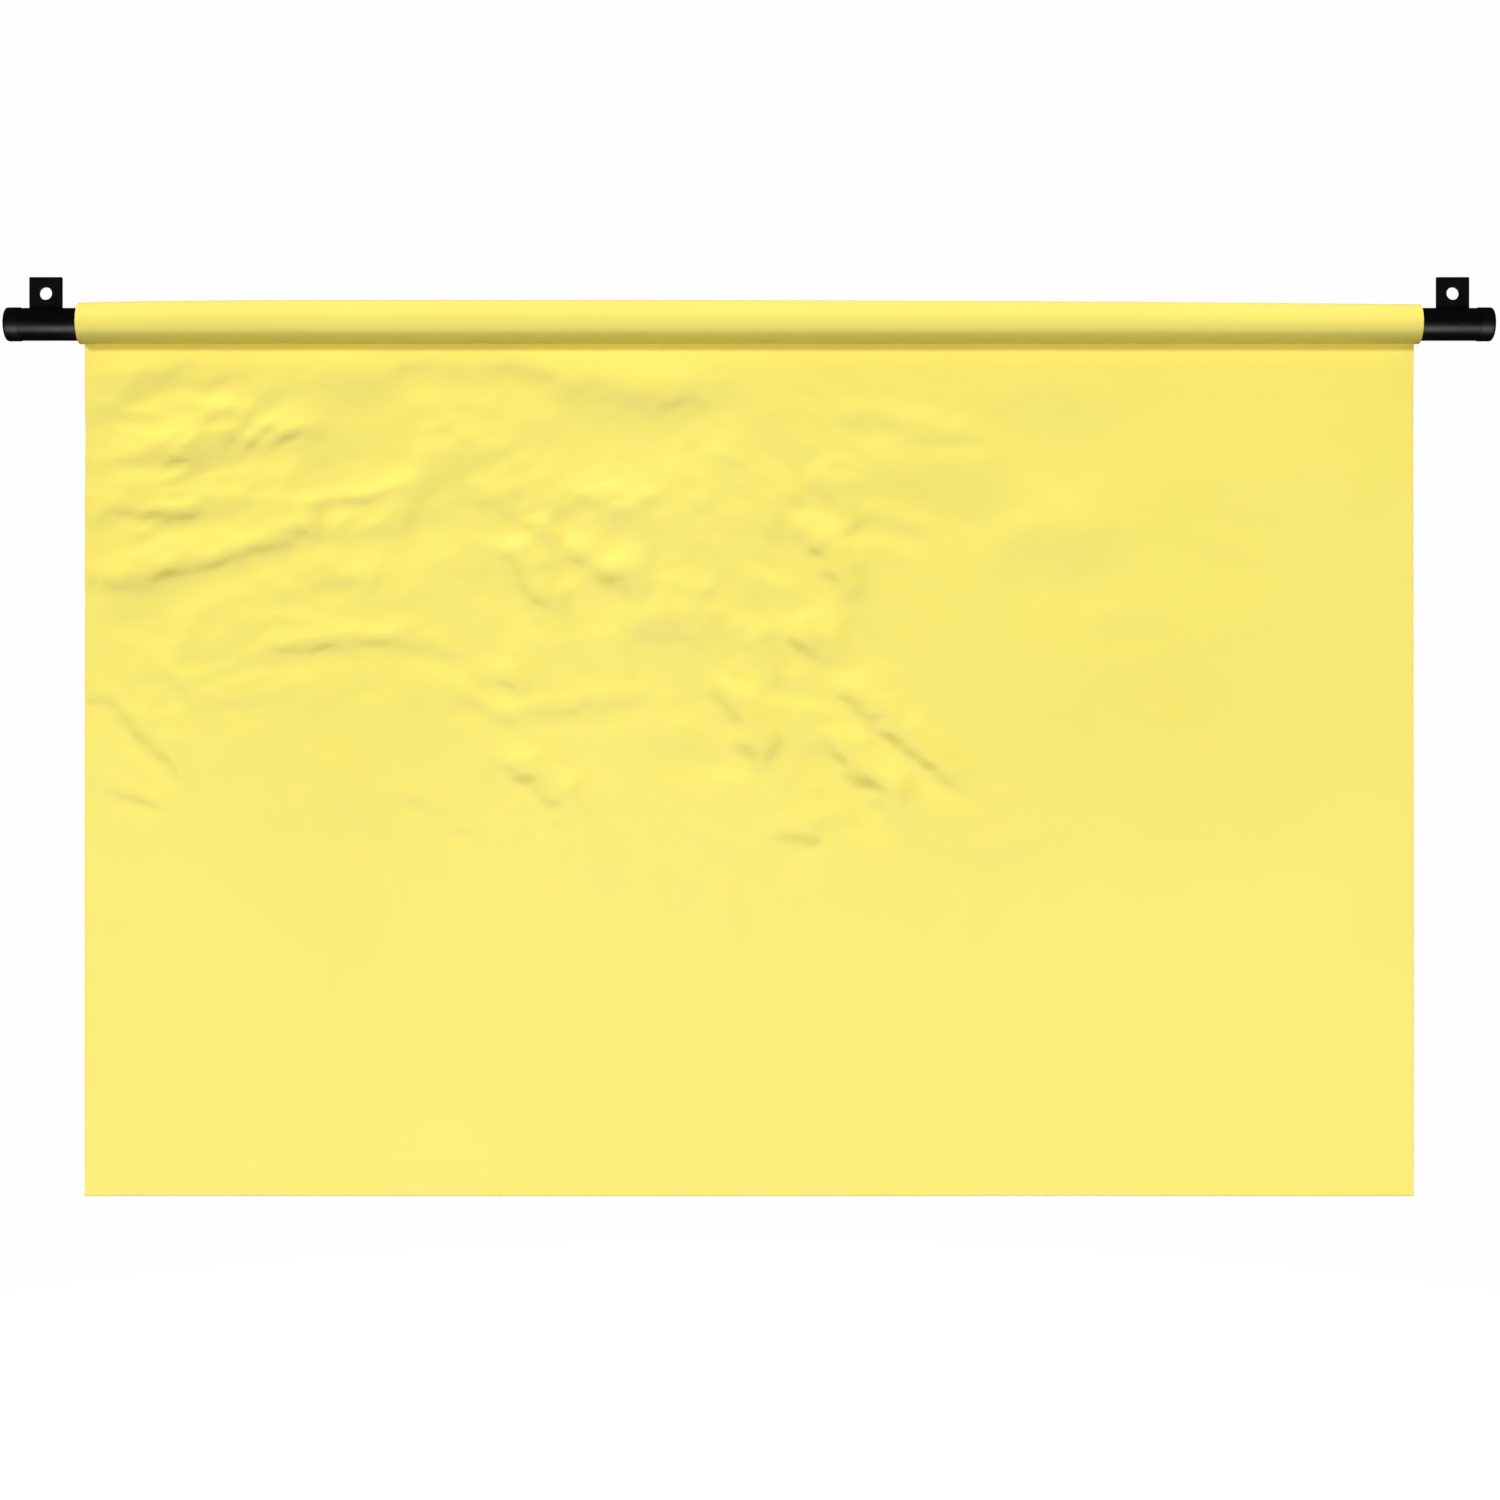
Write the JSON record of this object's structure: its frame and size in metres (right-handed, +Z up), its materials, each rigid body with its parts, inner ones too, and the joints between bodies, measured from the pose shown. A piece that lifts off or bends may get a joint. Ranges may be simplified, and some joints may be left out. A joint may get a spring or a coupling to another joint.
{
  "type": "welding curtain screen",
  "caption": "Opaque yellow vinyl welding curtain on a black telescoping steel pole with a hanging lug at each end and rounded end caps.",
  "frame": {"origin": "midway between the two hanging holes, in the middle of the lug plates' thickness", "axes": "+X along the pole, +Y towards the back of the curtain, +Z up"},
  "size_m": [2.029, 0.0545, 1.2592],
  "materials": {
    "zinc_tube": "bright zinc plate, satin",
    "black_powder": "semi-gloss black powder coat",
    "cap_vinyl": "matt black dipped vinyl",
    "nylon": "natural nylon, satin",
    "curtain_vinyl": "opaque yellow PVC sheet, satin sheen",
    "hem_vinyl": "the same yellow PVC, welded flat with a fine pressed grid"
  },
  "bodies": {
    "pole": {"centre_tube": "zinc_tube", "left_mouth_bush": "nylon", "right_mouth_bush": "nylon", "left_bush_rivets": "zinc_tube", "right_bush_rivets": "zinc_tube"},
    "left_end": {"left_end_tube": "black_powder", "left_glide_plug": "nylon", "left_end_cap": "cap_vinyl", "left_lug": "black_powder", "left_lug_weld": "black_powder"},
    "right_end": {"right_end_tube": "black_powder", "right_glide_plug": "nylon", "right_end_cap": "cap_vinyl", "right_lug": "black_powder", "right_lug_weld": "black_powder"},
    "pocket": {"pole_pocket": "curtain_vinyl"},
    "panel": {"curtain_panel": "curtain_vinyl", "pocket_flap": "hem_vinyl", "left_side_hem": "hem_vinyl", "right_side_hem": "hem_vinyl", "bottom_hem": "hem_vinyl"}
  },
  "joints": [
    {"name": "left_end_slide", "type": "slide", "parent": "pole", "child": "left_end", "axis": [-1, 0, 0], "range_m": [0, 0.28]},
    {"name": "right_end_slide", "type": "slide", "parent": "pole", "child": "right_end", "axis": [1, 0, 0], "range_m": [0, 0.28]},
    {"name": "curtain_slide", "type": "slide", "parent": "pole", "child": "pocket", "axis": [1, 0, 0], "range_m": [-0.02, 0.02]},
    {"name": "curtain_swing", "type": "hinge", "parent": "pocket", "child": "panel", "pos_m": [0, 0.0264, -0.0735], "axis": [1, 0, 0], "range_deg": [-60, 60]}
  ]
}
